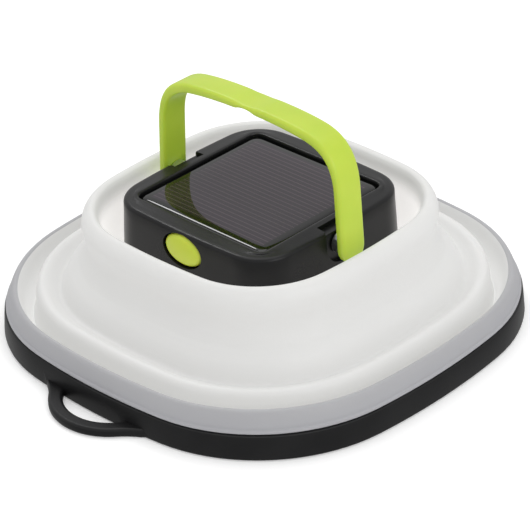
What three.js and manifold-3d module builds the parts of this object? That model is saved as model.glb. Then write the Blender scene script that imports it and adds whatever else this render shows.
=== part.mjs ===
// A collapsible solar lantern: a black base with a hang loop, a silicone diffuser that folds down in
// steps like a travel cup, and a square lamp head with a solar panel, a bail handle and a push button.
// Millimetres, +Z up. The origin is the middle of the underside of the base, and the lantern is folded
// flat. The button is on the -Y side of the head, the charging socket on the +Y side, and the handle
// turns about an X axis through the head.
import * as THREE from 'three';
import { mergeVertices } from 'three/addons/utils/BufferGeometryUtils.js';
import Module from 'manifold-3d';

const wasm = await Module();
wasm.setup();

// ---- driving dimensions ------------------------------------------------------------------------
const CLEARANCE = 0.3;
const RING_STEPS = 48;

// rounded squares: half width at the middle of a side, the bow of the sides, the radius of the corners
const BODY_SIDE_RADIUS = 178;
const HEAD_SIDE_RADIUS = 285;
const HEAD_HALF = 26.3;
const HEAD_CORNER_RADIUS = 10;
const CREST_HALF = 35.3;
const BASE_CORNER_RADIUS = 40.7;
const CORNER_SHRINK = 1.5;

// base
const BASE_HALF = 57.95;
const BASE_TOP_HALF = 57.5;
const BASE_WALL_TOP = 6.5;
const BASE_WALL_INNER = 56.5;
const BASE_FLOOR = 1.6;
const LOOP_CENTRE_Y = -50.6;
const LOOP_OUTER_RADIUS = 15.7;
const LOOP_INNER_RADIUS = 12.2;
const LOOP_HEIGHT = 2.2;
const LOOP_ROOT_Y = -57.2;
const BASE_SCREW_REACH = 33;

// head, listed from the bottom up
const COLLAR_RING_BOTTOM = 13.5;
const COLLAR_BOTTOM = 15.0;
const TRAY_BOTTOM = 16.3;
const TRAY_FLOOR = 1.5;
const COVER_BOTTOM = 22.2;
const HEAD_EDGE = 34.0;
const BEZEL_INNER_TOP = 34.8;
const HEAD_WALL = 1.7;
const COLLAR_INNER_HALF = 19.5;
const WINDOW_RADIUS = 15;
const BOARD_BOTTOM = 22.6;
const BOARD_THICK = 1.2;
const HEAD_SCREW_REACH = 19.6;
const PANEL_OPENING_HALF = 21.0;
const PANEL_HALF = 20.3;
const PANEL_TOP = 34.3;
const LEDGE_TOP = 31.0;
const LEDGE_THICK = 1.2;
const LEDGE_HALF = 18.5;

// button, in the middle of the -Y wall
const BUTTON_Z = 29.6;
const BUTTON_HALF_WIDTH = 6.0;
const BUTTON_HALF_HEIGHT = 4.0;
const BUTTON_FACE_Y = -26.95;

// charging socket and its flap, in the middle of the +Y wall
const SOCKET_Z = 25.6;
const FLAP_WIDTH = 12.8;
const FLAP_BOTTOM = 22.8;
const FLAP_TOP = 29.0;
const FLAP_OUTER_Y = 26.4;
const FLAP_INNER_Y = 25.5;

// handle
const PIVOT_Z = 30.2;
const STRAP_HALF_WIDTH = 3.9;
const STRAP_OUTER_X = 30.9;
const STRAP_INNER_X = 28.4;
const BAR_TOP = 59.1;
const BAR_UNDERSIDE = 56.9;
const PIN_RADIUS = 1.6;
const PIN_SHOULDER_X = 27.9;
const HANDLE_HOLE_X = 30.3;

// ---- shapes ------------------------------------------------------------------------------------
const clamp = THREE.MathUtils.clamp;

function sideRadius(half) {
  const towardsHead = clamp((CREST_HALF - half) / (CREST_HALF - HEAD_HALF), 0, 1);
  return BODY_SIDE_RADIUS + (HEAD_SIDE_RADIUS - BODY_SIDE_RADIUS) * towardsHead;
}

function cornerRadius(half) {
  if (half < HEAD_HALF) return (half * HEAD_CORNER_RADIUS) / HEAD_HALF;
  const inward = clamp((BASE_HALF - half) / (BASE_HALF - HEAD_HALF), 0, 1);
  return BASE_CORNER_RADIUS - (BASE_CORNER_RADIUS - HEAD_CORNER_RADIUS) * inward ** CORNER_SHRINK;
}

// Distance from the middle to a rounded square in the direction of an angle. Each side is an arc about
// a far centre on its own axis, and each corner is an arc about a point on the diagonal.
function squareReach(half, angle) {
  const side = sideRadius(half);
  const corner = cornerRadius(half);
  const back = side - half;
  const diagonal = (-back + Math.sqrt(2 * (side - corner) ** 2 - back ** 2)) / 2;
  const quarter = Math.PI / 2;
  const folded = Math.abs(angle - quarter * Math.round(angle / quarter));
  const tangent = Math.atan2(diagonal, diagonal + back);
  const joint = Math.atan2(side * Math.sin(tangent), side * Math.cos(tangent) - back);
  if (folded < joint) {
    return -back * Math.cos(folded) + Math.sqrt(side ** 2 - (back * Math.sin(folded)) ** 2);
  }
  const along = diagonal * (Math.cos(folded) + Math.sin(folded));
  return along + Math.sqrt(along ** 2 - 2 * diagonal ** 2 + corner ** 2);
}

// A welded copy of a closed geometry, with no collapsed triangles and its faces pointing out.
function weld(geometry) {
  const bare = new THREE.BufferGeometry();
  bare.setAttribute('position', geometry.getAttribute('position').clone());
  if (geometry.index) bare.setIndex(geometry.index.clone());
  const merged = mergeVertices(bare, 1e-4);
  const places = merged.getAttribute('position');
  const corner = [new THREE.Vector3(), new THREE.Vector3(), new THREE.Vector3()];
  const kept = [];
  let volume = 0;
  for (let i = 0; i < merged.index.count; i += 3) {
    const triangle = [0, 1, 2].map((k) => merged.index.getX(i + k));
    if (new Set(triangle).size < 3) continue;
    triangle.forEach((vertex, k) => corner[k].fromBufferAttribute(places, vertex));
    volume += corner[0].dot(corner[1].clone().cross(corner[2]));
    kept.push(...triangle);
  }
  if (volume < 0) kept.reverse();
  merged.setIndex(kept);
  return merged;
}

function toSolid(geometry) {
  const welded = weld(geometry);
  const vertProperties = new Float32Array(welded.getAttribute('position').array);
  const triVerts = new Uint32Array(welded.index.array);
  return new wasm.Manifold(new wasm.Mesh({ numProp: 3, vertProperties, triVerts }));
}

function fromSolid(solid) {
  const mesh = solid.getMesh();
  const geometry = new THREE.BufferGeometry();
  geometry.setAttribute('position', new THREE.BufferAttribute(new Float32Array(mesh.vertProperties), 3));
  geometry.setIndex(Array.from(mesh.triVerts));
  return geometry;
}

function join(first, ...others) {
  return fromSolid(others.reduce((whole, other) => whole.add(toSolid(other)), toSolid(first)));
}

function cut(body, ...tools) {
  return fromSolid(tools.reduce((whole, tool) => whole.subtract(toSolid(tool)), toSolid(body)));
}

function common(first, second) {
  return fromSolid(toSolid(first).intersect(toSolid(second)));
}

// A profile of [half width, z] points carried round a rounded square. It closes on itself, or starts
// and ends on the axis.
function squareTurn(profile) {
  const first = profile[0];
  const last = profile[profile.length - 1];
  const onAxis = first[0] === 0 && last[0] === 0;
  const loop = onAxis ? profile : [...profile, first];
  const points = loop.map(([half, z]) => new THREE.Vector2(half, z));
  const geometry = new THREE.LatheGeometry(points, RING_STEPS).rotateX(Math.PI / 2);
  const places = geometry.getAttribute('position');
  for (let i = 0; i < places.count; i += 1) {
    const x = places.getX(i);
    const y = places.getY(i);
    const half = Math.hypot(x, y);
    if (half < 1e-6) continue;
    const scale = squareReach(half, Math.atan2(y, x)) / half;
    places.setXY(i, x * scale, y * scale);
  }
  return weld(geometry);
}

function squareFrame(inner, outer, low, high) {
  return squareTurn([[inner, low], [outer, low], [outer, high], [inner, high]]);
}

function box(width, depth, height, x, y, z) {
  return new THREE.BoxGeometry(width, depth, height).translate(x, y, z);
}

function post(radius, low, high, x, y, steps = 16) {
  const geometry = new THREE.CylinderGeometry(radius, radius, high - low, steps).rotateX(Math.PI / 2);
  return geometry.translate(x, y, (low + high) / 2);
}

// An outline drawn in x and z, pulled out along Y between two depths.
function pulledAlongY(shape, from, to, curveSegments = 12) {
  const settings = { depth: to - from, bevelEnabled: false, curveSegments };
  return new THREE.ExtrudeGeometry(shape, settings).rotateX(Math.PI / 2).translate(0, to, 0);
}

function oval(halfWidth, halfHeight, z) {
  return new THREE.Shape().absellipse(0, z, halfWidth, halfHeight, 0, Math.PI * 2);
}

// Round-headed screw that points up, with the underside of its head at z.
function screw(x, y, z, headRadius, headHeight, shankRadius, length) {
  const head = post(headRadius, z - headHeight, z, x, y);
  const slot = box(headRadius * 1.3, 0.6, headHeight, x, y, z - headHeight);
  return cut(join(head, post(shankRadius, z - 0.1, z + length, x, y, 12)), slot);
}

function lead(points, radius = 0.5) {
  const path = new THREE.CatmullRomCurve3(points.map(([x, y, z]) => new THREE.Vector3(x, y, z)));
  const section = new THREE.Shape().absarc(0, 0, radius, 0, Math.PI * 2);
  return new THREE.ExtrudeGeometry(section, { steps: 8, curveSegments: 3, extrudePath: path });
}

// A square slab with straight sides and small round corners.
function slab(half, radius, low, high) {
  const centre = half - radius;
  const shape = new THREE.Shape();
  corners(centre).forEach(([x, y], i) => {
    const start = Math.PI + (i * Math.PI) / 2;
    shape.absarc(x, y, radius, start, start + Math.PI / 2);
  });
  const settings = { depth: high - low, bevelEnabled: false, curveSegments: 4 };
  return new THREE.ExtrudeGeometry(shape, settings).translate(0, 0, low);
}

const corners = (reach) => [[-1, -1], [1, -1], [1, 1], [-1, 1]].map(([x, y]) => [x * reach, y * reach]);

// ---- the part ----------------------------------------------------------------------------------
const lantern = new THREE.Group();

const finish = (color, roughness, metalness = 0) => ({ color, roughness, metalness });
const BLACK = finish(0x2b2b2d, 0.5);
const WHITE = finish(0xf2f2f0, 0.5);
const SILICONE = finish(0xe4e4e2, 0.6);
const RIM_SILICONE = finish(0xb9bec3, 0.55);
const LIME = finish(0xa9cf2a, 0.4);
const STEEL = finish(0xb4b6b8, 0.3, 1);
const BOARD = finish(0x1f5a38, 0.5);

function add(name, geometry, look) {
  const mesh = new THREE.Mesh(geometry, new THREE.MeshStandardMaterial(look));
  mesh.name = name;
  lantern.add(mesh);
}

// Base: a shallow tray with a D-shaped hang loop low on its -Y side.
function hangLoop() {
  const arcEnd = (radius) => Math.asin((LOOP_ROOT_Y - LOOP_CENTRE_Y) / radius);
  const outer = arcEnd(LOOP_OUTER_RADIUS);
  const inner = arcEnd(LOOP_INNER_RADIUS);
  const shape = new THREE.Shape();
  shape.absarc(0, LOOP_CENTRE_Y, LOOP_OUTER_RADIUS, outer, -Math.PI - outer, true);
  shape.absarc(0, LOOP_CENTRE_Y, LOOP_INNER_RADIUS, -Math.PI - inner, inner, false);
  return new THREE.ExtrudeGeometry(shape, { depth: LOOP_HEIGHT, bevelEnabled: false, curveSegments: 18 });
}

function baseTray() {
  const bowl = squareTurn([
    [0, 0], [BASE_HALF, 0], [BASE_TOP_HALF, BASE_WALL_TOP], [BASE_WALL_INNER, BASE_WALL_TOP],
    [BASE_WALL_INNER, BASE_FLOOR], [0, BASE_FLOOR],
  ]);
  const pockets = corners(BASE_SCREW_REACH).flatMap(([x, y]) => [
    post(3.0, -1, 0.9, x, y),
    post(1.4, 0.5, BASE_FLOOR + 1, x, y, 12),
  ]);
  return cut(join(bowl, hangLoop()), ...pockets);
}

// A white plate that throws light up. Its raised edge wedges the foot of the silicone in the tray.
function reflectorPlate() {
  const low = BASE_FLOOR + CLEARANCE;
  const plate = squareTurn([[0, low], [54.6, low], [54.6, 4.6], [53.4, 4.6], [53.4, 2.7], [0, 2.7]]);
  const bosses = corners(BASE_SCREW_REACH).map(([x, y]) => post(2.8, 2.3, 6.0, x, y));
  const holes = corners(BASE_SCREW_REACH).map(([x, y]) => post(1.4, 1.0, 5.4, x, y, 12));
  return cut(join(plate, ...bosses), ...holes);
}

add('base_tray', baseTray(), BLACK);
add('reflector_plate', reflectorPlate(), WHITE);
corners(BASE_SCREW_REACH).forEach(([x, y], i) => {
  add(`base_screw_${i + 1}`, screw(x, y, 0.8, 2.5, 0.6, 1.05, 4.2), STEEL);
});

// Diffuser: one silicone moulding. It is listed here in five lengths, from the base to the head,
// because the two thin lengths roll over as the lantern opens and the three thick ones keep their shape.
const rimProfile = [
  [54.9, 2.2], [56.2, 2.2], [56.2, 6.8], [57.2, 6.8], [57.2, 7.5], [55.9, 11.2], [55.2, 11.85],
  [54.6, 11.5], [55.6, 8.2], [54.9, 6.6],
];
const lowerWallProfile = [
  [54.4, 11.3], [53.6, 11.1], [51.8, 4.9], [52.7, 4.6],
];
const steppedProfile = [
  [52.3, 3.9], [51.0, 5.4], [50.6, 10.0], [50.0, 11.7], [48.8, 12.8], [45.6, 10.9], [44.3, 11.1],
  [43.4, 13.6], [42.3, 15.6], [39.7, 18.6], [38.2, 21.8], [37.8, 23.8], [38.4, 27.8], [37.4, 30.8],
  [35.4, 31.9], [34.5, 31.6], [36.2, 30.0], [37.2, 27.8], [36.6, 23.8], [37.1, 21.4], [38.7, 17.9],
  [41.4, 14.8], [42.3, 13.0], [42.9, 9.8], [46.2, 9.8], [48.6, 11.6], [49.4, 9.9], [49.6, 6.0], [51.6, 3.4],
];
const upperWallProfile = [
  [34.5, 31.2], [33.9, 30.6], [32.7, 24.0], [31.8, 19.9], [29.8, 17.0], [28.4, 16.0],
  [28.7, 15.2], [30.4, 16.1], [32.6, 19.3], [33.6, 23.8], [34.8, 30.4],
];
const collarHole = ([x, y]) => post(1.5, 10, 20, x, y, 12);
const collar = squareFrame(COLLAR_INNER_HALF, 28.1, COLLAR_BOTTOM, COLLAR_BOTTOM + 1);

add('diffuser_rim', squareTurn(rimProfile), RIM_SILICONE);
add('lower_rolling_wall', squareTurn(lowerWallProfile), SILICONE);
add('stepped_diffuser', squareTurn(steppedProfile), SILICONE);
add('upper_rolling_wall', squareTurn(upperWallProfile), SILICONE);
add('diffuser_collar', cut(collar, ...corners(HEAD_SCREW_REACH).map(collarHole)), SILICONE);

// Head: a clamp ring and a tray below, a one-piece bezel and wall above, held by four long screws.
function collarRing() {
  const ring = squareFrame(COLLAR_INNER_HALF, 27.4, COLLAR_RING_BOTTOM, COLLAR_BOTTOM - CLEARANCE);
  return cut(ring, ...corners(HEAD_SCREW_REACH).map(collarHole));
}

function headTray() {
  const top = COVER_BOTTOM - CLEARANCE;
  const floorTop = TRAY_BOTTOM + TRAY_FLOOR;
  const tray = squareTurn([
    [0, TRAY_BOTTOM], [26.0, TRAY_BOTTOM], [26.4, 17.0], [26.7, top], [26.7 - HEAD_WALL, top],
    [26.4 - HEAD_WALL, floorTop], [0, floorTop],
  ]);
  const boardPosts = [[-14, -18], [14, -18], [14, 18], [-14, 18]].map(
    ([x, y]) => post(1.6, floorTop - 0.2, BOARD_BOTTOM - CLEARANCE, x, y, 12),
  );
  const holes = corners(HEAD_SCREW_REACH).map(([x, y]) => post(1.5, 15, 19, x, y, 12));
  const windowHole = post(WINDOW_RADIUS + CLEARANCE, 15, 19, 0, 0, 32);
  return cut(join(tray, ...boardPosts), ...holes, windowHole);
}

// The pocket in each X wall that the end of the handle sits in, with a shallow notch in the bezel.
function handlePocket(side) {
  const inWall = box(4, 9.8, 14, side * (25.5 + 2), 0, 29);
  const inBezel = box(8, 8.8, 4, side * (22.9 + 4), 0, 33.4 + 2);
  return join(inWall, inBezel);
}

function headCover() {
  const shell = squareTurn([
    [0, BEZEL_INNER_TOP], [PANEL_OPENING_HALF + 0.3, BEZEL_INNER_TOP], [25.5, HEAD_EDGE + 0.4],
    [26.1, HEAD_EDGE], [26.35, 33.3], [26.75, COVER_BOTTOM], [26.75 - HEAD_WALL, COVER_BOTTOM],
    [26.4 - HEAD_WALL, LEDGE_TOP - LEDGE_THICK], [0, LEDGE_TOP - LEDGE_THICK],
  ]);
  const panelOpening = slab(PANEL_OPENING_HALF, 2.4, LEDGE_TOP, 40);
  const ledgeOpening = slab(LEDGE_HALF, 2, 28, LEDGE_TOP + 1);
  const bosses = corners(HEAD_SCREW_REACH).map(([x, y]) => post(2.4, 18.1, LEDGE_TOP - 0.6, x, y));
  const pivotBoss = (side) => box(3.2, 9, 8, side * 24.3, 0, PIVOT_Z - 1.2);
  const socketPad = box(17, 3.2, 8.4, 0, 24.1, 26.6);
  const frame = cut(shell, panelOpening, ledgeOpening);
  const whole = join(frame, ...bosses, pivotBoss(-1), pivotBoss(1), socketPad);
  const screwHoles = corners(HEAD_SCREW_REACH).map(([x, y]) => post(1.4, 17, 28.5, x, y, 12));
  const pinHole = new THREE.CylinderGeometry(PIN_RADIUS + CLEARANCE, PIN_RADIUS + CLEARANCE, 70, 20)
    .rotateZ(Math.PI / 2)
    .translate(0, 0, PIVOT_Z);
  const buttonHole = pulledAlongY(
    oval(BUTTON_HALF_WIDTH + CLEARANCE, BUTTON_HALF_HEIGHT + CLEARANCE, BUTTON_Z), -30, -22, 16,
  );
  const flapHeight = FLAP_TOP - FLAP_BOTTOM + 2 * CLEARANCE;
  const flapDepth = 30 - (FLAP_INNER_Y - CLEARANCE);
  const flapRecess = box(
    FLAP_WIDTH + 2 * CLEARANCE, flapDepth, flapHeight,
    0, 30 - flapDepth / 2, (FLAP_TOP + FLAP_BOTTOM) / 2,
  );
  const socketHole = box(8.8, 10, 3.8, 0, 24, SOCKET_Z);
  return cut(
    whole, ...screwHoles, pinHole, buttonHole, flapRecess, socketHole, handlePocket(-1), handlePocket(1),
  );
}

function lampWindow() {
  const floorTop = TRAY_BOTTOM + TRAY_FLOOR;
  const neck = post(WINDOW_RADIUS, TRAY_BOTTOM, floorTop + 0.5, 0, 0, 32);
  return join(neck, post(WINDOW_RADIUS + 1.6, floorTop + CLEARANCE, floorTop + 1.1, 0, 0, 32));
}

add('collar_ring', collarRing(), BLACK);
add('head_tray', headTray(), BLACK);
add('head_cover', headCover(), BLACK);
add('lamp_window', lampWindow(), finish(0xe8eef0, 0.15));
corners(HEAD_SCREW_REACH).forEach(([x, y], i) => {
  add(`head_screw_${i + 1}`, screw(x, y, COLLAR_RING_BOTTOM - 0.15, 2.3, 1.3, 1.05, 13), STEEL);
});

// Solar panel: a clear cover over the cell, on a board that a foam frame beds on the bezel's ledge.
const gasket = cut(slab(20.2, 1.8, LEDGE_TOP + 0.3, LEDGE_TOP + 0.7), slab(18.8, 1.8, 30, 33));
add('panel_gasket', gasket, finish(0x1c1c1c, 0.9));
add('panel_board', box(40.2, 40.2, 0.9, 0, 0, 32.45), BOARD);
add('solar_cell', box(37, 37, 0.3, 0, 0, 33.35), finish(0x3a3340, 0.35));

add('panel_cover', slab(PANEL_HALF, 1.8, PANEL_TOP - 0.5, PANEL_TOP), finish(0x2c2830, 0.12));

// Inside the head.
const boardTop = BOARD_BOTTOM + BOARD_THICK;
add('circuit_board', box(33, 43, BOARD_THICK, 0, 0, BOARD_BOTTOM + BOARD_THICK / 2), BOARD);
corners(6.5).forEach(([x, y], i) => {
  add(`led_${i + 1}`, box(3.5, 2.8, 1.6, x, y, BOARD_BOTTOM - CLEARANCE - 0.8), finish(0xf6efc2, 0.3));
});
add('battery', box(34, 26, 5.6, 0, -2, 27.4), finish(0xc7cacd, 0.35, 0.6));
add('battery_pad', box(26, 18, 1.2, 0, -2, 31.1), finish(0x303030, 0.95));
add('switch_board', box(15, 1.2, 5.2, 0, -17.6, 26.8), BOARD);
add('tact_switch', box(6, 4.0, 4.4, 0, -20.6, 27.2), finish(0x3a3a3a, 0.4));
add('charging_socket', box(7.8, 5.4, 2.9, 0, 19.8, SOCKET_Z), STEEL);
[['red', -1, 0xb3261e], ['black', 1, 0x202020]].forEach(([name, side, color]) => {
  const batteryLead = lead([
    [side * 10, 11.6, 28.6], [side * 11, 13.4, 28.0], [side * 12, 14.6, 26.0],
    [side * 12, 14.8, boardTop + 0.4],
  ]);
  const panelLead = lead([
    [side * 15, 15.8, 31.6], [side * 15.4, 16.6, 29.4], [side * 15.2, 17.0, 26.8],
    [side * 15, 17.4, boardTop + 0.4],
  ]);
  add(`battery_lead_${name}`, batteryLead, finish(color, 0.5));
  add(`panel_lead_${name}`, panelLead, finish(color, 0.5));
});

// Button: a domed oval cap, kept in the wall by a flange behind its lower half.
function powerButton() {
  const face = pulledAlongY(
    oval(BUTTON_HALF_WIDTH, BUTTON_HALF_HEIGHT, BUTTON_Z), BUTTON_FACE_Y + 0.35, -24.2, 16,
  );
  const crown = pulledAlongY(
    oval(BUTTON_HALF_WIDTH - 0.8, BUTTON_HALF_HEIGHT - 0.8, BUTTON_Z), BUTTON_FACE_Y, -25, 16,
  );
  const flange = box(15, 0.7, 4.4, 0, -23.95, 27.2);
  return join(face, crown, flange);
}

// Socket flap: a rubber tongue that lifts on its top edge.
function socketFlap() {
  const tongue = box(
    FLAP_WIDTH, FLAP_OUTER_Y - FLAP_INNER_Y, FLAP_TOP - FLAP_BOTTOM,
    0, (FLAP_OUTER_Y + FLAP_INNER_Y) / 2, (FLAP_TOP + FLAP_BOTTOM) / 2,
  );
  return cut(tongue, box(5, 1, 0.8, 0, FLAP_OUTER_Y, FLAP_BOTTOM));
}

// Handle: a bent strap with a shallow arch, round corners and half-round ends on its pivots.
// Half of the strap's outer side, from a leg's end to the middle of the bar, and the same of its inner
// side, as [x, z]. Each is a straight leg, a bend given by two handles, and a shallow arch. The inner
// side ends in a small scoop under the middle.
const OUTER_BEND = [[29.9, 44.5], [29.5, 52.5], [26.3, 57.3], [18.7, 58.25]];
const OUTER_ARCH_HANDLE = 9.4;
const INNER_BEND = [[27.6, 44.5], [27.3, 50.6], [25.4, 54.4], [18.8, 55.6]];
const INNER_ARCH_HANDLE = 11;
const SCOOP_HALF_WIDTH = 3.2;
const SCOOP_DEPTH = 1;
const STRAP_CUT_ABOVE = 70;
const STRAP_CUT_HALF_LENGTH = 40;
const HOLE_SIDES = 20;

function handle() {
  const outline = new THREE.Shape();
  const low = PIVOT_Z - STRAP_HALF_WIDTH;
  const [outerLegTop, outerFirst, outerSecond, outerShoulder] = OUTER_BEND;
  const [innerLegTop, innerFirst, innerSecond, innerShoulder] = INNER_BEND;
  const mirrored = ([x, z]) => [-x, z];
  outline.moveTo(STRAP_OUTER_X, low);
  outline.lineTo(...outerLegTop);
  outline.bezierCurveTo(...outerFirst, ...outerSecond, ...outerShoulder);
  outline.quadraticCurveTo(OUTER_ARCH_HANDLE, BAR_TOP, 0, BAR_TOP);
  outline.quadraticCurveTo(-OUTER_ARCH_HANDLE, BAR_TOP, ...mirrored(outerShoulder));
  outline.bezierCurveTo(...mirrored(outerSecond), ...mirrored(outerFirst), ...mirrored(outerLegTop));
  outline.lineTo(-STRAP_OUTER_X, low);
  outline.lineTo(-STRAP_INNER_X, low);
  outline.lineTo(...mirrored(innerLegTop));
  outline.bezierCurveTo(...mirrored(innerFirst), ...mirrored(innerSecond), ...mirrored(innerShoulder));
  outline.quadraticCurveTo(-INNER_ARCH_HANDLE, BAR_UNDERSIDE, -SCOOP_HALF_WIDTH, BAR_UNDERSIDE);
  outline.quadraticCurveTo(0, BAR_UNDERSIDE + SCOOP_DEPTH, SCOOP_HALF_WIDTH, BAR_UNDERSIDE);
  outline.quadraticCurveTo(INNER_ARCH_HANDLE, BAR_UNDERSIDE, ...innerShoulder);
  outline.bezierCurveTo(...innerSecond, ...innerFirst, ...innerLegTop);
  outline.lineTo(STRAP_INNER_X, low);
  const strap = pulledAlongY(outline, -STRAP_HALF_WIDTH, STRAP_HALF_WIDTH);
  const side = new THREE.Shape();
  side.absarc(0, PIVOT_Z, STRAP_HALF_WIDTH, Math.PI, 2 * Math.PI);
  side.lineTo(STRAP_HALF_WIDTH, STRAP_CUT_ABOVE);
  side.lineTo(-STRAP_HALF_WIDTH, STRAP_CUT_ABOVE);
  const sideView = pulledAlongY(side, -STRAP_CUT_HALF_LENGTH, STRAP_CUT_HALF_LENGTH).rotateZ(Math.PI / 2);
  const holeRadius = PIN_RADIUS + CLEARANCE;
  const hole = new THREE.CylinderGeometry(holeRadius, holeRadius, 2 * HANDLE_HOLE_X, HOLE_SIDES)
    .rotateZ(Math.PI / 2)
    .translate(0, 0, PIVOT_Z);
  return cut(common(strap, sideView), hole);
}

// Pivot pin: a shouldered stub that spaces the handle from the head wall.
const PIN_INNER_X = 22.9;
const COLLAR_INNER_X = 25.9;
const PIN_COLLAR_RADIUS = 2.8;

function pivotPin(side) {
  const profile = [
    [0, PIN_INNER_X], [PIN_RADIUS, PIN_INNER_X], [PIN_RADIUS, COLLAR_INNER_X],
    [PIN_COLLAR_RADIUS, COLLAR_INNER_X], [PIN_COLLAR_RADIUS, PIN_SHOULDER_X],
    [PIN_RADIUS, PIN_SHOULDER_X], [PIN_RADIUS, HANDLE_HOLE_X - CLEARANCE],
    [0, HANDLE_HOLE_X - CLEARANCE],
  ].map(([radius, along]) => new THREE.Vector2(radius, along));
  return new THREE.LatheGeometry(profile, 20).rotateZ((-side * Math.PI) / 2).translate(0, 0, PIVOT_Z);
}

add('power_button', powerButton(), LIME);
add('socket_flap', socketFlap(), finish(0x262626, 0.7));
add('handle', handle(), LIME);
add('pivot_pin_left', weld(pivotPin(-1)), STEEL);
add('pivot_pin_right', weld(pivotPin(1)), STEEL);

export default lantern;
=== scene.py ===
import math

import bmesh
import bpy
from mathutils import Matrix, Vector
from mathutils.geometry import interpolate_bezier


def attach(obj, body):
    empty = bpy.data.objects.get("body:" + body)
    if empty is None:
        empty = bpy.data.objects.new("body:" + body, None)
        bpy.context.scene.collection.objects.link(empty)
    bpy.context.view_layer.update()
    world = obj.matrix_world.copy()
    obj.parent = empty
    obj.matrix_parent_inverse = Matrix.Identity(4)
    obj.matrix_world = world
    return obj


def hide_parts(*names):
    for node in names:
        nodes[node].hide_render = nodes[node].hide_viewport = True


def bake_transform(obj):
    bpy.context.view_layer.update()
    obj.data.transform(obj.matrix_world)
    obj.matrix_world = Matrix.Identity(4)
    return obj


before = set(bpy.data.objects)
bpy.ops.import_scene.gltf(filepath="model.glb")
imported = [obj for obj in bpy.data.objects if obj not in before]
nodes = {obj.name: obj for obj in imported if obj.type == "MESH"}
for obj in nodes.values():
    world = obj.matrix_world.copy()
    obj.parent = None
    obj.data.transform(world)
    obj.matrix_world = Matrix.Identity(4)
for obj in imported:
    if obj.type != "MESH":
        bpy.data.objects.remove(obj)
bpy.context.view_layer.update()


# ---- Base tray -----------------------------------------------------------------------------------
# The black floor of the lantern: a shallow rounded square with a low wall for the silicone to stand in
# and a D-shaped loop low on one side to hang it by. It is one injection moulding in hard plastic.
MM = 0.001
RING_STEPS = 160


class Wire:
    """A value on its way through a material, which can be reckoned with like a number."""

    def __init__(self, desk, socket):
        self.desk = desk
        self.socket = socket

    def __add__(self, other):
        return self.desk.sum("ADD", self, other)

    def __radd__(self, other):
        return self.desk.sum("ADD", other, self)

    def __sub__(self, other):
        return self.desk.sum("SUBTRACT", self, other)

    def __rsub__(self, other):
        return self.desk.sum("SUBTRACT", other, self)

    def __mul__(self, other):
        return self.desk.sum("MULTIPLY", self, other)

    def __rmul__(self, other):
        return self.desk.sum("MULTIPLY", other, self)

    def __truediv__(self, other):
        return self.desk.sum("DIVIDE", self, other)

    def __rtruediv__(self, other):
        return self.desk.sum("DIVIDE", other, self)


class MixingDesk:
    """Puts nodes in a node tree and joins them up."""

    def __init__(self, tree):
        self.tree = tree

    def node(self, kind, settings, sockets, output=0):
        """Adds a node, sets it, feeds its sockets, and gives one of its outputs."""
        added = self.tree.nodes.new(kind)
        for setting, value in settings.items():
            if setting == "stops":
                self.set_stops(added.color_ramp, value)
            else:
                setattr(added, setting, value)
        for socket, value in sockets.items():
            self.feed(added.inputs[socket], value)
        return Wire(self, added.outputs[output])

    def set_stops(self, ramp, stops):
        for element, (position, colour) in zip(ramp.elements, stops):
            element.position = position
            element.color = colour

    def feed(self, socket, value):
        if isinstance(value, Wire):
            self.tree.links.new(value.socket, socket)
        else:
            socket.default_value = value

    def sum(self, operation, first, second):
        return self.node("ShaderNodeMath", {"operation": operation}, {0: first, 1: second})


class Paint(MixingDesk):
    """A material on one Principled shader, whose steady values are set as it is made."""

    def __init__(self, name, **steady):
        self.material = bpy.data.materials.new(name)
        self.material.use_nodes = True
        super().__init__(self.material.node_tree)
        self.shader = self.tree.nodes["Principled BSDF"]
        for socket, value in steady.items():
            self.shader.inputs[socket.replace("_", " ")].default_value = value
        self.place = self.node("ShaderNodeTexCoord", {}, {}, "Object")

    def speckle(self, grain_size, detail=2.0, roughness=0.5):
        """A cloudy value from 0 to 1 whose blots are about this many metres across."""
        sockets = {"Vector": self.place, "Scale": 1 / grain_size, "Detail": detail, "Roughness": roughness}
        return self.node("ShaderNodeTexNoise", {"noise_dimensions": "3D"}, sockets, "Fac")

    def mixed(self, share, first, second):
        """Two colours mixed, from the first at 0 to the second at 1."""
        settings = {"data_type": "RGBA"}
        return self.node("ShaderNodeMix", settings, {"Factor": share, 6: first, 7: second}, 2)

    def height(self, axis):
        """How far along an axis the surface lies, in metres."""
        return self.node("ShaderNodeSeparateXYZ", {}, {"Vector": self.place}, axis)

    def ramped(self, value, low, high):
        """A value carried smoothly from 0 at low to 1 at high."""
        settings = {"interpolation_type": "SMOOTHSTEP"}
        return self.node("ShaderNodeMapRange", settings, {0: value, 1: low, 2: high, 3: 0.0, 4: 1.0})

    def grained(self, relief, depth):
        """Raises the surface by a value of relief times a depth in metres."""
        bump = self.node("ShaderNodeBump", {}, {"Height": relief, "Distance": depth, "Strength": 1.0})
        self.feed(self.shader.inputs["Normal"], bump)

    def coloured(self, colour, roughness):
        self.feed(self.shader.inputs["Base Color"], colour)
        self.feed(self.shader.inputs["Roughness"], roughness)


HEAD_HALF = 0.0263
BASE_HALF = 0.05795
HEAD_CORNER = 0.010
BASE_CORNER = 0.0407
HEAD_BOW = 0.285
BASE_BOW = 0.178
HEAD_BOW_FADES_OVER = 0.009


def clamped(value):
    return min(max(value, 0), 1)


def body_outline(half):
    """The bow radius of the sides and the corner radius of a rounded square of this half width."""
    towards_head = clamped((HEAD_HALF + HEAD_BOW_FADES_OVER - half) / HEAD_BOW_FADES_OVER)
    inward = clamped((BASE_HALF - half) / (BASE_HALF - HEAD_HALF))
    corner = HEAD_CORNER * half / HEAD_HALF
    if half > HEAD_HALF:
        corner = BASE_CORNER - (BASE_CORNER - HEAD_CORNER) * inward ** 1.5
    return BASE_BOW + (HEAD_BOW - BASE_BOW) * towards_head, corner


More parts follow.
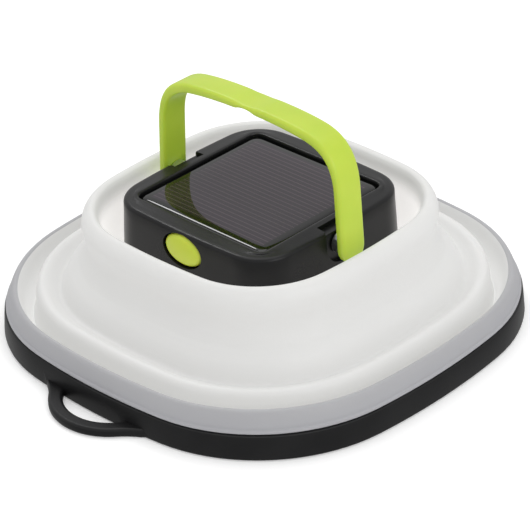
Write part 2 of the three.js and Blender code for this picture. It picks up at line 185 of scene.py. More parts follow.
def reach(half, angle, outline):
    """How far a rounded square reaches from its middle in the direction of an angle."""
    side, corner = outline(half)
    back = side - half
    diagonal = (math.sqrt(2 * (side - corner) ** 2 - back ** 2) - back) / 2
    quarter = math.pi / 2
    folded = abs(angle - quarter * round(angle / quarter))
    tangent = math.atan2(diagonal, diagonal + back)
    joint = math.atan2(side * math.sin(tangent), side * math.cos(tangent) - back)
    if folded < joint:
        return math.sqrt(side ** 2 - (back * math.sin(folded)) ** 2) - back * math.cos(folded)
    along = diagonal * (math.cos(folded) + math.sin(folded))
    return along + math.sqrt(along ** 2 - 2 * diagonal ** 2 + corner ** 2)


def turned(profile, steps=RING_STEPS, closed=True):
    """A line of (half width, height) points in millimetres carried round the Z axis. The side of the
    line that is outside or on top, as it runs from the outside in, is the outside of the shape."""
    shape = bmesh.new()
    line = [shape.verts.new((half * MM, 0, z * MM)) for half, z in profile]
    pairs = list(zip(line, line[1:]))
    if closed:
        pairs.append((line[-1], line[0]))
    edges = [shape.edges.new(pair) for pair in pairs]
    bmesh.ops.spin(
        shape, geom=line + edges, cent=(0, 0, 0), axis=(0, 0, 1), angle=2 * math.pi, steps=steps,
        use_merge=True,
    )
    bmesh.ops.remove_doubles(shape, verts=shape.verts, dist=1e-6)
    bmesh.ops.recalc_face_normals(shape, faces=shape.faces)
    if not closed and profile[0][0] > 0:
        first, second = [Vector((half * MM, 0, z * MM)) for half, z in profile[:2]]
        middle = (first + second) / 2
        face = min(shape.faces, key=lambda f: (f.calc_center_median() - middle).length)
        outwards = face.calc_center_median().xy.normalized() * (second.z - first.z)
        if face.normal.dot(Vector((*outwards, first.x - second.x))) < 0:
            bmesh.ops.reverse_faces(shape, faces=shape.faces)
    return shape


CORNER_CROWDING = 0.15


def square_up(shape, outline):
    """Presses a round shape to a rounded square, with more of its steps at the corners."""
    for vertex in shape.verts:
        half = vertex.co.xy.length
        if half > 1e-6:
            angle = math.atan2(vertex.co.y, vertex.co.x)
            angle += CORNER_CROWDING * math.sin(4 * angle)
            distance = reach(half, angle, outline)
            vertex.co.x = distance * math.cos(angle)
            vertex.co.y = distance * math.sin(angle)
    return shape


def combined(shape, operation, *tools):
    """Cuts tools out of a shape, or joins them to it. The tools are used up."""
    work = bpy.data.objects.new("work", bpy.data.meshes.new("work"))
    shape.to_mesh(work.data)
    bpy.context.scene.collection.objects.link(work)
    used = [work]
    for tool in tools:
        helper = bpy.data.objects.new("tool", bpy.data.meshes.new("tool"))
        tool.to_mesh(helper.data)
        tool.free()
        bpy.context.scene.collection.objects.link(helper)
        used.append(helper)
        step = work.modifiers.new("step", "BOOLEAN")
        step.operation = operation
        step.object = helper
        step.solver = "EXACT"
    result = work.evaluated_get(bpy.context.evaluated_depsgraph_get()).to_mesh()
    shape.clear()
    shape.from_mesh(result)
    for scrap in used:
        bpy.data.meshes.remove(scrap.data)
    bmesh.ops.remove_doubles(shape, verts=shape.verts, dist=1e-6)
    return shape


def made(shape, name, paint, crease=32):
    """Makes an object of a shape, smooth but for the edges sharper than an angle in degrees."""
    shape.normal_update()
    for face in shape.faces:
        face.smooth = abs(face.normal.z) < 0.99999
    for edge in shape.edges:
        edge.smooth = len(edge.link_faces) == 2 and edge.calc_face_angle() < math.radians(crease)
    mesh = bpy.data.meshes.new(name)
    shape.to_mesh(mesh)
    shape.free()
    mesh.materials.append(paint.material)
    piece = bpy.data.objects.new(name, mesh)
    bpy.context.scene.collection.objects.link(piece)
    return piece


def moulded(name, colour, worn_colour, roughness, grain_depth, **steady):
    """Hard injection-moulded plastic: a fine spark-eroded grain, and faint cloudiness in its gloss."""
    paint = Paint(name, **steady)
    cloud = paint.speckle(0.012, 3.0)
    grain = paint.speckle(0.0004, 2.0, 0.6)
    tone = paint.mixed(paint.ramped(cloud, 0.3, 0.7), colour, worn_colour)
    paint.coloured(tone, roughness + (cloud - 0.5) * 0.12 + (grain - 0.5) * 0.06)
    paint.grained(grain, grain_depth)
    return paint


base_black = moulded(
    "base_black_plastic", (0.006, 0.006, 0.0065, 1), (0.009, 0.009, 0.0095, 1), 0.36, 0.00002,
    Specular_IOR_Level=0.28,
)
bowl = square_up(turned([
    (0, 0), (57.1, 0), (57.55, 0.1), (57.85, 0.4), (57.95, 0.85), (57.72, 4.4), (57.58, 6.0),
    (57.5, 6.3), (57.3, 6.45), (57.1, 6.5), (56.7, 6.5), (56.5, 6.3), (56.5, 1.8), (56.2, 1.6), (0, 1.6),
], closed=False), body_outline)

# the loop, as a round-edged bar carried round part of a circle, with its ends flared into the wall
LOOP_MIDDLE = -50.6
LOOP_INNER = 12.2
LOOP_OUTER = 15.7
LOOP_HEIGHT = 2.3
LOOP_START = math.radians(20)
FLARE = 2.6
FLARE_FROM = -61.0
FLARE_LENGTH = 4.0
loop = bmesh.new()
section = [loop.verts.new((x * MM, LOOP_MIDDLE * MM, z * MM)) for x, z in [
    (LOOP_INNER, 0), (LOOP_OUTER, 0), (LOOP_OUTER, LOOP_HEIGHT), (LOOP_INNER, LOOP_HEIGHT),
]]
loop.faces.new(section)
bmesh.ops.bevel(
    loop, geom=section, offset=0.75 * MM, offset_type="OFFSET", affect="VERTICES", segments=4,
    profile=0.5, material=-1,
)
bmesh.ops.rotate(
    loop, verts=loop.verts, cent=(0, LOOP_MIDDLE * MM, 0), matrix=Matrix.Rotation(-LOOP_START, 3, "Z"),
)
bmesh.ops.spin(
    loop, geom=loop.faces[:], cent=(0, LOOP_MIDDLE * MM, 0), axis=(0, 0, -1),
    angle=math.pi - 2 * LOOP_START, steps=44,
)
bmesh.ops.contextual_create(loop, geom=[e for e in loop.edges if e.is_boundary])
bmesh.ops.recalc_face_normals(loop, faces=loop.faces)
for vertex in loop.verts:
    across = vertex.co.xy - Vector((0, LOOP_MIDDLE * MM))
    flare = clamped((vertex.co.y / MM - FLARE_FROM) / FLARE_LENGTH) ** 2
    if across.length > (LOOP_INNER + LOOP_OUTER) / 2 * MM:
        vertex.co.x += math.copysign(FLARE * MM * flare, vertex.co.x)
combined(bowl, "UNION", loop)

# the round pockets of the screws
SCREW_PLACE = 33
pockets = []
for x in (-SCREW_PLACE, SCREW_PLACE):
    for y in (-SCREW_PLACE, SCREW_PLACE):
        pocket = bmesh.new()
        bmesh.ops.create_cone(
            pocket, cap_ends=True, segments=32, radius1=3.1 * MM, radius2=2.9 * MM, depth=2 * MM,
            matrix=Matrix.Translation((x * MM, y * MM, -0.1 * MM)),
        )
        pockets.append(pocket)
combined(bowl, "DIFFERENCE", *pockets)
tray = made(bowl, "base_tray_look", base_black)
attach(tray, "base")
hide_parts("base_tray")


# ---- Reflector plate and base screws -------------------------------------------------------------
# A glossy white plate that throws the light up into the silicone and wedges its foot in the tray.
# Four plated steel screws hold it from below.
def repaint(paint, *names):
    """Gives CAD nodes, whose shapes are already right, the finish of a paint."""
    for name in names:
        node = nodes[name]
        node.data.materials.clear()
        node.data.materials.append(paint.material)


white_plastic = moulded(
    "white_plastic", (0.80, 0.80, 0.79, 1), (0.76, 0.76, 0.74, 1), 0.30, 0.00001,
)
repaint(white_plastic, "reflector_plate")
steel = Paint("plated_steel", Metallic=1.0)
brushing = steel.node(
    "ShaderNodeMapping", {"vector_type": "POINT"}, {"Vector": steel.place, "Scale": (1, 1, 12)},
)
streaks = steel.node(
    "ShaderNodeTexNoise", {}, {"Vector": brushing, "Scale": 900.0, "Detail": 3.0}, "Fac",
)
steel.coloured(
    steel.mixed(streaks, (0.50, 0.51, 0.53, 1), (0.68, 0.69, 0.70, 1)), 0.22 + streaks * 0.2,
)
steel.grained(streaks, 0.00001)
repaint(steel, "base_screw_1", "base_screw_2", "base_screw_3", "base_screw_4")


# ---- Silicone diffuser: rim ----------------------------------------------------------------------
# The rim of the silicone moulding stands in the tray. A light bead sits on the tray's edge, and above
# it the wall is thick and blue-grey, up to the crest that the thin wall rolls from.
SILICONE_LINE = [
    (56.55, 6.72), (57.0, 6.7), (57.25, 6.95), (57.2, 7.45), (56.95, 7.7), (56.85, 7.95), (56.8, 8.4),
    (56.35, 9.8), (55.9, 11.0), (55.5, 11.65), (55.0, 11.85), (54.5, 11.6),
    (54.0, 10.6), (53.3, 8.4), (52.6, 6.0), (51.95, 4.7), (51.45, 4.45),
    (51.0, 5.4), (50.7, 8.0), (50.5, 10.2), (50.1, 11.8), (49.2, 12.75), (48.0, 12.6), (46.4, 11.5),
    (45.1, 10.85), (44.4, 11.15), (43.95, 12.2), (43.3, 13.8), (42.4, 15.5), (41.1, 17.0), (39.8, 18.4),
    (38.7, 20.4), (38.05, 22.2), (37.8, 23.7), (37.9, 25.2), (38.25, 26.6), (38.4, 27.8), (38.25, 29.2),
    (37.6, 30.6), (36.6, 31.6), (35.6, 31.9), (34.7, 31.5),
    (34.0, 30.5), (33.5, 28.5), (33.1, 26.0), (32.6, 23.0), (31.8, 20.0), (30.6, 17.8),
    (29.2, 16.6), (28.2, 16.2),
]
RIM_END = 11
LOWER_WALL_END = 16
STEPS_END = 41
UPPER_WALL_END = len(SILICONE_LINE) - 1
RIM_FOOT = 0.0070
RIM_CREST = 0.0112
SHADE_FADES_OVER = 0.006


def fair(points, first, last, step):
    """The smooth line through the points of a list, from one of them to another, in short lengths."""
    knots = [Vector(point) for point in points]
    leans = [
        (knots[min(i + 1, len(knots) - 1)] - knots[max(i - 1, 0)]).normalized()
        for i in range(len(knots))
    ]
    line = []
    for i in range(first, last):
        span = (knots[i + 1] - knots[i]).length
        handles = knots[i] + leans[i] * span / 3, knots[i + 1] - leans[i + 1] * span / 3
        pieces = max(2, round(span / step))
        line += interpolate_bezier(knots[i], *handles, knots[i + 1], pieces + 1)[:-1]
    return [tuple(point) for point in line + [knots[last]]]


def silicone_wall(first, last, thickness, step=0.35):
    """A length of the silicone moulding, from its visible side through to its thickness."""
    wall = turned(fair(SILICONE_LINE, first, last, step), closed=False)
    square_up(wall, body_outline)
    wall.normal_update()
    bmesh.ops.solidify(wall, geom=wall.faces[:], thickness=thickness * MM)
    return wall


def silicone_paint(name, low_colour, high_colour, painted_glow, painted_deep_glow=None, shaded_below=0.0):
    """Soft matt silicone, from its colour at the foot of the rim to its colour above. A steady emission is
    a painted glow standing in for the light it lets through, and a stronger painted glow below a height
    lifts its shade."""
    paint = Paint(
        name, Subsurface_Weight=0.30, Subsurface_Scale=0.003, Coat_Weight=0.08, Coat_Roughness=0.35,
        Subsurface_Radius=(1.0, 0.95, 0.9), Emission_Strength=1.0,
    )
    cloud = paint.speckle(0.02, 3.0)
    dust = paint.speckle(0.0008, 2.0, 0.6)
    level = paint.height("Z") + (cloud - 0.5) * 0.002
    tone = paint.mixed(paint.ramped(level, RIM_FOOT, RIM_CREST), low_colour, high_colour)
    shaded = paint.mixed(cloud * 0.06, tone, (0.62, 0.62, 0.62, 1))
    paint.coloured(shaded, 0.50 + (cloud - 0.5) * 0.16 + (dust - 0.5) * 0.08)
    paint.grained(dust, 0.00002)
    # below the shaded height, a stronger painted glow lifts the shade the silicone casts on itself
    depth = 1 - paint.ramped(paint.height("Z"), shaded_below - SHADE_FADES_OVER, shaded_below)
    paint.feed(paint.shader.inputs["Emission Color"], paint.mixed(depth, painted_glow, painted_deep_glow or painted_glow))
    return paint


# the rim's steady emission is a faint painted glow standing in for light through the silicone
rim_paint = silicone_paint(
    "rim_silicone", (0.27, 0.27, 0.285, 1), (0.29, 0.29, 0.30, 1), (0.08, 0.08, 0.085, 1),
)
rim = made(silicone_wall(0, RIM_END, 1.2, 0.25), "diffuser_rim_look", rim_paint)
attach(rim, "base")
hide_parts("diffuser_rim")


# ---- Silicone diffuser: lower rolling wall -------------------------------------------------------
# The thin length between the rim and the steps. It rolls over and stands up as the lantern opens, and
# its edges stay with the thick lengths on either side of it.
WHITE = (0.51, 0.51, 0.505, 1)
# a steady painted glow on all the white silicone, standing in for the light it lets through
WHITE_PAINTED_GLOW = (0.20, 0.199, 0.194, 1)
# a stronger painted glow low in the fold lifts the shade that falls there
fold_silicone_painted_glow = silicone_paint(
    "white_silicone_glow_painted_in_the_fold", WHITE, WHITE, WHITE_PAINTED_GLOW, (0.34, 0.34, 0.335, 1), 0.0112,
)
lower_wall = made(silicone_wall(RIM_END, LOWER_WALL_END, 0.9), "lower_rolling_wall_look", fold_silicone_painted_glow)
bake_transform(lower_wall)
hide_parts("lower_rolling_wall")


# ---- Silicone diffuser: steps --------------------------------------------------------------------
# The thick middle of the moulding, which keeps its shape: a low step, a tall waisted wall and the
# crest that the upper wall rolls from.
white_silicone = silicone_paint("white_silicone", WHITE, WHITE, WHITE_PAINTED_GLOW)
steps = made(silicone_wall(LOWER_WALL_END, STEPS_END, 1.1), "stepped_diffuser_look", white_silicone)
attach(steps, "tiers")
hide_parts("stepped_diffuser")


# ---- Silicone diffuser: upper rolling wall and collar --------------------------------------------
# The thin length between the crest and the head, and the flat collar that the head's clamp ring
# squeezes against the head.
# a strong painted glow low round the head lifts the shade in the trench between head and crest
head_fold_silicone_painted_glow = silicone_paint(
    "white_silicone_glow_painted_round_the_head", WHITE, WHITE, WHITE_PAINTED_GLOW, (0.64, 0.625, 0.61, 1), 0.0315,
)
upper_wall = made(
    silicone_wall(STEPS_END, UPPER_WALL_END, 0.9), "upper_rolling_wall_look", head_fold_silicone_painted_glow,
)
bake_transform(upper_wall)
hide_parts("upper_rolling_wall")
repaint(head_fold_silicone_painted_glow, "diffuser_collar")


# ---- Head: clamp ring, tray, lamp window and screws ----------------------------------------------
# The underside of the lamp head. The ring clamps the collar to the tray, a clear window covers the
# lamp in the middle, and four long screws come up from below into the head cover.
head_black = moulded(
    "head_black_plastic", (0.006, 0.006, 0.0065, 1), (0.009, 0.009, 0.0095, 1), 0.30, 0.000012,
    Specular_IOR_Level=0.26,
)
repaint(head_black, "collar_ring", "head_tray")
window_paint = Paint("clear_window", IOR=1.49, Transmission_Weight=0.85)
frost = window_paint.speckle(0.0006, 2.0)
window_paint.coloured(
    window_paint.mixed(frost, (0.90, 0.93, 0.94, 1), (0.97, 0.98, 0.98, 1)), 0.12 + frost * 0.18,
)
window_paint.grained(frost, 0.00003)
repaint(window_paint, "lamp_window")
repaint(steel, "head_screw_1", "head_screw_2", "head_screw_3", "head_screw_4")


# ---- Head: cover ---------------------------------------------------------------------------------
# The visible black head: a flat frame round the panel, soft outer edges, and a wall with a pocket at
# each end of the handle, an oval hole for the button and a recess for the socket's flap.
FRAME_HALF = 0.0216
FRAME_BLENDS_OVER = 0.0034
FRAME_BOW = 20
FRAME_CORNER = 0.0024


def head_outline(half):
    """Straight sides and small corners at the panel, as the frame's inner edge is, to the body's bow."""
    share = clamped((half - FRAME_HALF) / FRAME_BLENDS_OVER)
    share = share * share * (3 - 2 * share)
    bow = (1 - share) / FRAME_BOW + share / HEAD_BOW
    return 1 / bow, (1 - share) * FRAME_CORNER + share * HEAD_CORNER


cover = square_up(turned([
    (24.7, 29.8), (25.0, 26.0), (25.05, 22.35), (25.2, 22.2), (26.6, 22.2), (26.75, 22.35),
    (26.6, 26.6), (26.4, 31.2), (26.34, 33.3), (26.29, 33.65), (26.16, 33.95), (25.95, 34.18),
    (25.65, 34.31), (25.3, 34.37), (24.4, 34.43), (23.6, 34.5), (22.8, 34.58), (22.1, 34.64),
    (21.6, 34.68), (21.3, 34.66), (21.1, 34.55), (21.0, 34.35), (21.0, 33.6), (21.0, 31.0),
    (18.5, 31.0), (18.5, 29.8),
], steps=192), head_outline)


def cutter(shape_maker, matrix, **sizes):
    """One of the simple starting shapes, put in its place."""
    tool = bmesh.new()
    shape_maker(tool, matrix=matrix, **sizes)
    return tool


def block(width, depth, height, x, y, z):
    size = Matrix.Diagonal((width * MM, depth * MM, height * MM, 1))
    return cutter(bmesh.ops.create_cube, Matrix.Translation((x * MM, y * MM, z * MM)) @ size, size=1)


def rod(radius, length, x, y, z, axis, segments=48):
    turn = Matrix.Rotation(math.pi / 2, 4, {"X": "Y", "Y": "X"}[axis])
    return cutter(
        bmesh.ops.create_cone, Matrix.Translation((x * MM, y * MM, z * MM)) @ turn, cap_ends=True,
        segments=segments, radius1=radius * MM, radius2=radius * MM, depth=length * MM,
    )


PIVOT_Z = 30.2
POCKET_RADIUS = 4.9
POCKET_X = 27.5
PIN_HOLE_RADIUS = 1.9
BUTTON_Z = 29.6
BUTTON_HOLE = (6.3, 4.3)
SOCKET_Z = 25.9
cuts = []
for side in (-1, 1):
    cuts.append(rod(POCKET_RADIUS, 4.0, side * POCKET_X, 0, PIVOT_Z, "X"))
    cuts.append(block(4.0, 2 * POCKET_RADIUS, 8.0, side * POCKET_X, 0, PIVOT_Z + 4.0))
    cuts.append(block(8.0, 8.8, 4.0, side * 26.9, 0, 35.4))
    cuts.append(rod(PIN_HOLE_RADIUS, 8.0, side * 26.0, 0, PIVOT_Z, "X"))
button_hole = rod(BUTTON_HOLE[1], 8.0, 0, -26.0, BUTTON_Z, "Y", 64)
bmesh.ops.scale(button_hole, verts=button_hole.verts, vec=(BUTTON_HOLE[0] / BUTTON_HOLE[1], 1, 1))
cuts.append(button_hole)
cuts.append(block(13.4, 4.8, 6.8, 0, 27.6, SOCKET_Z))
cuts.append(block(8.8, 8.0, 3.8, 0, 25.0, SOCKET_Z - 0.3))
combined(cover, "DIFFERENCE", *cuts)
head = made(cover, "head_cover_look", head_black, crease=28)
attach(head, "head")
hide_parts("head_cover")


# ---- Solar panel ---------------------------------------------------------------------------------
# A dark cell with fine printed conductor lines under a clear, glossy cover that is domed at its edges,
# on a green board and a foam frame bedded on the ledge of the head. The cover carries the look of the
# cell that shows through it.
circuit_green = moulded(
    "circuit_board", (0.015, 0.09, 0.04, 1), (0.02, 0.12, 0.05, 1), 0.38, 0.00001,
)
foam = Paint("black_foam")
cells = foam.node("ShaderNodeTexVoronoi", {"feature": "F1"}, {"Vector": foam.place, "Scale": 1800.0})
foam.coloured(foam.mixed(cells, (0.012, 0.012, 0.012, 1), (0.04, 0.04, 0.04, 1)), 0.85 + cells * 0.1)
foam.grained(cells, 0.0002)
repaint(circuit_green, "panel_board")
repaint(foam, "panel_gasket", "battery_pad")


LINE_PITCH = 0.00145
CELL_HALF = 0.0181
CELL_EDGE_FADE = 0.0003


def cell_paint(name, **steady):
    """Dark silicon with fine lighter lines across it, in a plain black border."""
    paint = Paint(name, **steady)
    along = paint.height("Y") / LINE_PITCH
    stripe = paint.node("ShaderNodeMath", {"operation": "PINGPONG"}, {0: along, 1: 0.5})
    line = 1 - paint.ramped(stripe, 0.04, 0.16)
    cloud = paint.speckle(0.006, 3.0)
    silicon = paint.mixed(cloud, (0.013, 0.007, 0.013, 1), (0.018, 0.010, 0.018, 1))
    lined = paint.mixed(line * 0.6, silicon, (0.075, 0.055, 0.065, 1))
    inside = 1.0
    for axis in ("X", "Y"):
        edge = paint.node("ShaderNodeMath", {"operation": "ABSOLUTE"}, {0: paint.height(axis)})
        inside = inside * (1 - paint.ramped(edge, CELL_HALF, CELL_HALF + CELL_EDGE_FADE))
    paint.coloured(paint.mixed(inside, (0.004, 0.004, 0.004, 1), lined), 0.32 + cloud * 0.1)
    paint.grained(cloud, 0.00001)
    return paint


repaint(cell_paint("solar_cell"), "solar_cell")
panel_look = cell_paint(
    "panel_cover", Coat_Weight=1.0, Coat_Roughness=0.02, Coat_IOR=1.5, Specular_IOR_Level=0.0,
)


PANEL_HALF = 0.0203
PANEL_CORNER = 0.0018
PANEL_CORNER_GROWTH = 0.004


def panel_outline(half):
    """Straight sides, and corners that grow rounder up the dome."""
    return 20.0, PANEL_CORNER + clamped((PANEL_HALF - half) / 0.004) * PANEL_CORNER_GROWTH


cover_glass = square_up(turned([
    (0, 33.6), (20.0, 33.6), (20.25, 33.65), (20.3, 33.75), (20.2, 33.93), (19.9, 34.06), (19.4, 34.14),
    (18.6, 34.2), (17.6, 34.24), (16.4, 34.27), (15.0, 34.29), (13.0, 34.3), (0, 34.3),
], steps=192, closed=False), panel_outline)
glass = made(cover_glass, "panel_cover_look", panel_look, crease=50)
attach(glass, "head")
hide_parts("panel_cover")


# ---- Inside the head -----------------------------------------------------------------------------
# The lamp board with its four lamps, the wrapped cell on its foam pad, the switch on a board of its
# own behind the button, the charging socket, and the leads between them.
def wrapped(name, colour, other_colour, roughness, grain_size, depth):
    """A plain skin with a small unevenness in its colour and gloss."""
    paint = Paint(name)
    cloud = paint.speckle(grain_size, 3.0)
    paint.coloured(paint.mixed(cloud, colour, other_colour), roughness + (cloud - 0.5) * 0.15)
    paint.grained(cloud, depth)
    return paint


repaint(circuit_green, "circuit_board", "switch_board")
lamp_paint = wrapped("lamp_phosphor", (0.85, 0.72, 0.28, 1), (0.92, 0.84, 0.50, 1), 0.3, 0.0004, 0.00003)
repaint(lamp_paint, "led_1", "led_2", "led_3", "led_4")
battery_wrap = wrapped("battery_wrap", (0.45, 0.47, 0.50, 1), (0.55, 0.57, 0.60, 1), 0.35, 0.004, 0.00008)
repaint(battery_wrap, "battery")
switch_body = wrapped("switch_body", (0.03, 0.03, 0.03, 1), (0.05, 0.05, 0.05, 1), 0.4, 0.0008, 0.00002)
repaint(switch_body, "tact_switch")
repaint(steel, "charging_socket")
red_wire = wrapped("red_wire", (0.45, 0.02, 0.015, 1), (0.55, 0.03, 0.02, 1), 0.45, 0.001, 0.00003)
repaint(red_wire, "battery_lead_red", "panel_lead_red")
black_wire = wrapped("black_wire", (0.015, 0.015, 0.015, 1), (0.03, 0.03, 0.03, 1), 0.45, 0.001, 0.00003)
repaint(black_wire, "battery_lead_black", "panel_lead_black")


# ---- Power button --------------------------------------------------------------------------------
# A domed oval cap in soft lime rubbery plastic, with a little room round it in its hole. It presses
# straight in on the switch.
button_paint = moulded(
    "lime_button", (0.58, 0.68, 0.05, 1), (0.62, 0.72, 0.06, 1), 0.42, 0.00001, Subsurface_Weight=0.15,
    Subsurface_Scale=0.002,
)
cap = turned([
    (6.0, 0.0), (6.0, 1.1), (5.93, 1.45), (5.72, 1.78), (5.35, 2.05), (4.8, 2.25), (4.0, 2.43),
    (3.0, 2.57), (1.8, 2.67), (0.8, 2.71), (0, 2.72),
], steps=96, closed=False)
cap_place = Matrix.Translation((0, -24.2 * MM, BUTTON_Z * MM)) @ Matrix.Rotation(math.pi / 2, 4, "X")
bmesh.ops.scale(cap, verts=cap.verts, vec=(1, 4 / 6, 1))
bmesh.ops.transform(cap, verts=cap.verts, matrix=cap_place)
bmesh.ops.holes_fill(cap, edges=cap.edges, sides=200)
bmesh.ops.recalc_face_normals(cap, faces=cap.faces)
button = made(cap, "power_button_look", button_paint)
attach(button, "button")
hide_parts("power_button")


# ---- Socket flap ---------------------------------------------------------------------------------
# A black rubber tongue that closes the charging socket. It lifts on its top edge, and has a notch at
# the bottom for a fingernail.
SHARP = math.radians(40)


def softened(shape, width, steps, chosen):
    """Rounds those sharp edges of a closed shape whose middles a test chooses."""
    edges = [
        edge for edge in shape.edges
        if len(edge.link_faces) == 2
        and edge.calc_face_angle() > SHARP
        and chosen((edge.verts[0].co + edge.verts[1].co) / 2)
    ]
    bmesh.ops.bevel(
        shape, geom=edges, offset=width, offset_type="OFFSET", affect="EDGES", segments=steps,
        profile=0.5, material=-1, clamp_overlap=True,
    )
    return shape


rubber = moulded("black_rubber", (0.014, 0.014, 0.014, 1), (0.022, 0.022, 0.022, 1), 0.62, 0.00003)
TONGUE_Y = 25.95
tongue = block(12.8, 0.9, 6.2, 0, TONGUE_Y, SOCKET_Z)
softened(tongue, 1.3 * MM, 5, lambda middle: (
    abs(middle.x) > 6 * MM and abs(middle.y - TONGUE_Y * MM) < 0.01 * MM
))
softened(tongue, 0.3 * MM, 3, lambda middle: middle.y > (TONGUE_Y + 0.35) * MM)
combined(tongue, "DIFFERENCE", rod(0.8, 5.0, 0, 26.6, 22.9, "X", 32))
flap = made(tongue, "socket_flap_look", rubber)
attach(flap, "flap")
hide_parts("socket_flap")


# ---- Handle --------------------------------------------------------------------------------------
# A bent strap in bright lime plastic that swings over the head on two pins. It has a shallow arch,
# rounded edges and half-round ends, and a small scoop under its middle for the fingers.
# the faint green emission is a painted glow that makes the handle's shaded sides greener
lime = moulded(
    "lime_plastic", (0.46, 0.57, 0.040, 1), (0.50, 0.60, 0.050, 1), 0.36, 0.00001,
    Subsurface_Weight=0.12, Subsurface_Scale=0.0015, Emission_Color=(0.1, 1, 0.1, 1),
    Emission_Strength=0.045,
)
STRAP_HALF_WIDTH = 3.9
STRAP_HALF_THICKNESS = 1.3
STRAP_EDGE = 1.05
LEG_END = PIVOT_Z - STRAP_HALF_WIDTH
LEG_TOP = 44.5
BAR_TOP = 59.1
BAR_UNDERSIDE = 56.9
DIP_DEPTH = 0.28
DIP_HALF_WIDTH = 5.5
SCOOP_DEPTH = 0.75
SCOOP_HALF_WIDTH = 3.4


def bent(start, first_handle, second_handle, end, pieces):
    """A curved length of an outline in X and Z, without its last point."""
    corners = [Vector(corner) for corner in (start, first_handle, second_handle, end)]
    return [(point.x, point.y) for point in interpolate_bezier(*corners, pieces + 1)[:-1]]


def leg_pair(rise):
    """The outer and the inner point of a leg at a height above its end."""
    share = rise / (LEG_TOP - LEG_END)
    return (30.9 - share, LEG_END + rise), (28.4 - 0.8 * share, LEG_END + rise)


# one leg and half of the bar, from the leg's end up, as pairs of an outer and an inner point
leg = [leg_pair(rise) for rise in (0.03, 0.1, 0.25, 0.5, 0.8, 1.2, 1.8, 2.5, 3.2, 3.9, 8, 13)]
bend = list(zip(
    bent((29.9, LEG_TOP), (29.5, 52.5), (26.3, 57.3), (18.7, 58.25), 18),
    bent((27.6, LEG_TOP), (27.3, 50.6), (25.4, 54.4), (18.8, 55.6), 18),
))
arch = []
for outer, inner in zip(
    bent((18.7, 58.25), (12.5, 59.08), (6.2, BAR_TOP), (0.0, BAR_TOP), 30),
    bent((18.8, 55.6), (14.0, 56.4), (8.0, BAR_UNDERSIDE), (0.0, BAR_UNDERSIDE), 30),
):
    dip = DIP_DEPTH * max(1 - (outer[0] / DIP_HALF_WIDTH) ** 2, 0) ** 2
    scoop = SCOOP_DEPTH * max(1 - (inner[0] / SCOOP_HALF_WIDTH) ** 2, 0)
    arch.append(((outer[0], outer[1] - dip), (inner[0], inner[1] + scoop)))
half_run = leg + bend + arch
middle_pair = ((0.0, BAR_TOP - DIP_DEPTH), (0.0, BAR_UNDERSIDE + SCOOP_DEPTH))
run = half_run + [middle_pair] + [
    ((-outer[0], outer[1]), (-inner[0], inner[1])) for outer, inner in reversed(half_run)
]

# the strap is pulled straight, one step a millimetre, and each step is then put in its place
strap = bmesh.new()
strap_corners = [
    strap.verts.new((across * STRAP_HALF_THICKNESS * MM, along * STRAP_HALF_WIDTH * MM, 0))
    for across, along in [(1, -1), (1, 1), (-1, 1), (-1, -1)]
]
strap.faces.new(strap_corners)
bmesh.ops.bevel(
    strap, geom=strap_corners, offset=STRAP_EDGE * MM, offset_type="OFFSET", affect="VERTICES",
    segments=5, profile=0.5, material=-1,
)
bmesh.ops.spin(
    strap, geom=strap.faces[:], cent=(0, 0, 0), axis=(0, 0, 1), dvec=(0, 0, MM), angle=0,
    steps=len(run) - 1,
)
bmesh.ops.contextual_create(strap, geom=[edge for edge in strap.edges if edge.is_boundary])
for vertex in strap.verts:
    outer, inner = [Vector(point) for point in run[round(vertex.co.z / MM)]]
    rise = max(min(outer.y, inner.y) - LEG_END, 0)
    below_pin = max(STRAP_HALF_WIDTH - rise, 0)
    half_width = math.sqrt(STRAP_HALF_WIDTH ** 2 - below_pin ** 2)
    half_thickness = (outer - inner).length / 2
    if rise < STRAP_EDGE:
        half_thickness -= STRAP_EDGE - math.sqrt(STRAP_EDGE ** 2 - (STRAP_EDGE - rise) ** 2)
    from_face = STRAP_HALF_THICKNESS - abs(vertex.co.x / MM)
    from_face *= min(half_thickness / STRAP_HALF_THICKNESS, 1)
    from_side = (STRAP_HALF_WIDTH - abs(vertex.co.y / MM)) * min(half_width / STRAP_EDGE, 1)
    out = math.copysign(half_thickness - from_face, vertex.co.x)
    side = math.copysign(half_width - from_side, vertex.co.y)
    place = (outer + inner) / 2 + (outer - inner).normalized() * out
    vertex.co = Vector((place.x, side, place.y)) * MM
bmesh.ops.recalc_face_normals(strap, faces=strap.faces)
combined(strap, "DIFFERENCE", rod(PIN_HOLE_RADIUS, 60.6, 0, 0, PIVOT_Z, "X", 40))
bail = made(strap, "handle_look", lime, crease=40)
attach(bail, "handle")
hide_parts("handle")
repaint(steel, "pivot_pin_left", "pivot_pin_right")


# ---- Studio --------------------------------------------------------------------------------------
# A pale floor under soft white light from above and from the right, and a long lens on the corner
# between the button and the handle's end.
floor_shape = bmesh.new()
bmesh.ops.create_circle(floor_shape, cap_ends=True, segments=64, radius=4.0)
floor_paint = Paint("floor", Emission_Color=(1, 1, 1, 1), Emission_Strength=0.25)
floor_paint.coloured(
    floor_paint.mixed(floor_paint.speckle(0.5), (0.86, 0.86, 0.86, 1), (0.88, 0.88, 0.88, 1)), 0.9,
)
floor = made(floor_shape, "floor", floor_paint)
floor.visible_glossy = False

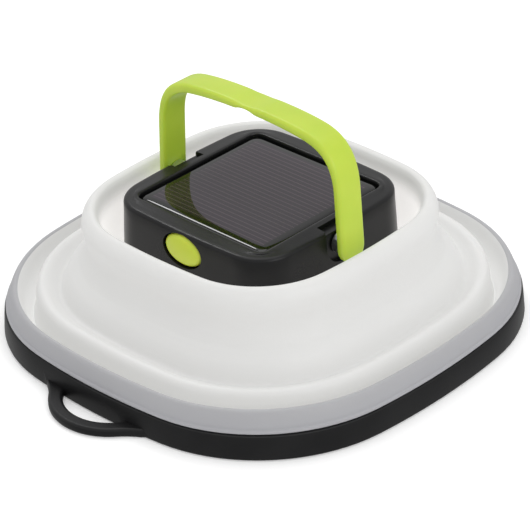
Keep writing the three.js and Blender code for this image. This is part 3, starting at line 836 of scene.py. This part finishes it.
world = bpy.data.worlds.new("studio")
world.use_nodes = True
bpy.context.scene.world = world
sky = MixingDesk(world.node_tree)
direction = sky.node("ShaderNodeTexCoord", {}, {}, "Generated")
elevation = sky.node("ShaderNodeSeparateXYZ", {}, {"Vector": direction}, "Z")
stops = [(0.45, (0.55, 0.55, 0.55, 1)), (0.58, (1, 1, 1, 1))]
shade = sky.node("ShaderNodeValToRGB", {"stops": stops}, {"Fac": elevation * 0.5 + 0.5}, "Color")
background = world.node_tree.nodes["Background"]
sky.feed(background.inputs["Color"], shade)
sky.feed(background.inputs["Strength"], 0.8)


def soft_light(name, place, aim, size, power):
    data = bpy.data.lights.new(name, "AREA")
    data.size = size
    data.energy = power
    lamp = bpy.data.objects.new(name, data)
    lamp.location = place
    lamp.rotation_euler = (Vector(aim) - Vector(place)).to_track_quat("-Z", "Y").to_euler()
    bpy.context.scene.collection.objects.link(lamp)


soft_light("overhead", (-0.1, 0.15, 0.9), (0, 0, 0), 0.7, 1.9)
soft_light("panel_glint", (-0.58, 0.23, 0.72), (0, 0, 0.03), 0.16, 0.8)
soft_light("right", (0.9, -0.1, 0.5), (0, 0, 0.02), 0.6, 2.0)

AZIMUTH = math.radians(44.91)
ELEVATION = math.radians(30.75)
ROLL = math.radians(2.55)
DISTANCE = 0.6617
back = Vector((
    math.sin(AZIMUTH) * math.cos(ELEVATION), -math.cos(AZIMUTH) * math.cos(ELEVATION), math.sin(ELEVATION),
))
level_right = Vector((math.cos(AZIMUTH), math.sin(AZIMUTH), 0))
level_up = back.cross(level_right)
right = level_right * math.cos(ROLL) - level_up * math.sin(ROLL)
up = level_up * math.cos(ROLL) + level_right * math.sin(ROLL)
camera = bpy.data.objects.new("camera", bpy.data.cameras.new("camera"))
camera.data.sensor_width = 36
camera.data.lens = 183.1
camera.data.clip_start = 0.05
camera.matrix_world = Matrix((
    (*[right[0], up[0], back[0]], 0), (*[right[1], up[1], back[1]], 0), (*[right[2], up[2], back[2]], 0),
    (0, 0, 0, 1),
))
camera.location = back * DISTANCE + up * 0.01178 + right * 0.00014
bpy.context.scene.collection.objects.link(camera)
bpy.context.scene.camera = camera
bpy.context.scene.view_settings.view_transform = "Standard"
